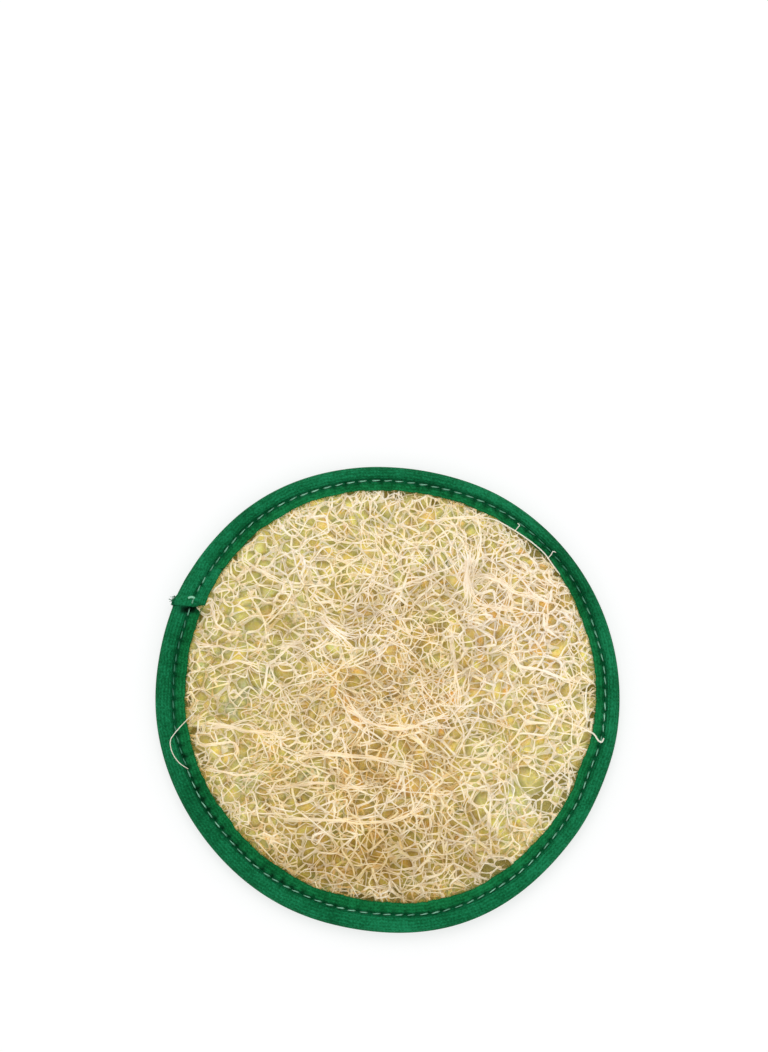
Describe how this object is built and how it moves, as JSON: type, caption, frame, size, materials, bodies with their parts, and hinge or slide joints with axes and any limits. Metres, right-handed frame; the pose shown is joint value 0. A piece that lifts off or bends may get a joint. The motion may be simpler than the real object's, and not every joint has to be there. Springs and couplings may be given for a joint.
{
  "type": "loofah scrubbing pad",
  "caption": "Round scrubbing pad: a raised net of dried gourd fibre laid over a foam sheet and bound round the rim with ribbed green tape sewn through with pale thread.",
  "frame": {"origin": "below the middle of the pad's outline, on the surface it lies on", "axes": "+Z out of the net face, through the pad's thickness; +Y towards the top of the pad as it stands in the picture"},
  "size_m": [0.149, 0.1494, 0.0102],
  "materials": {
    "loofah_fibre": "dry plant fibre, straw to cream, faint sheen",
    "foam": "matt open foam, pale yellow-green",
    "tape": "matt ribbed knit tape, deep green",
    "thread": "soft sheen, pale mint"
  },
  "bodies": {
    "root": {"loofah_mat": "loofah_fibre", "foam_sheet": "foam", "binding_tape": "tape", "seam_thread_face": "thread", "seam_thread_back": "thread"}
  },
  "joints": []
}
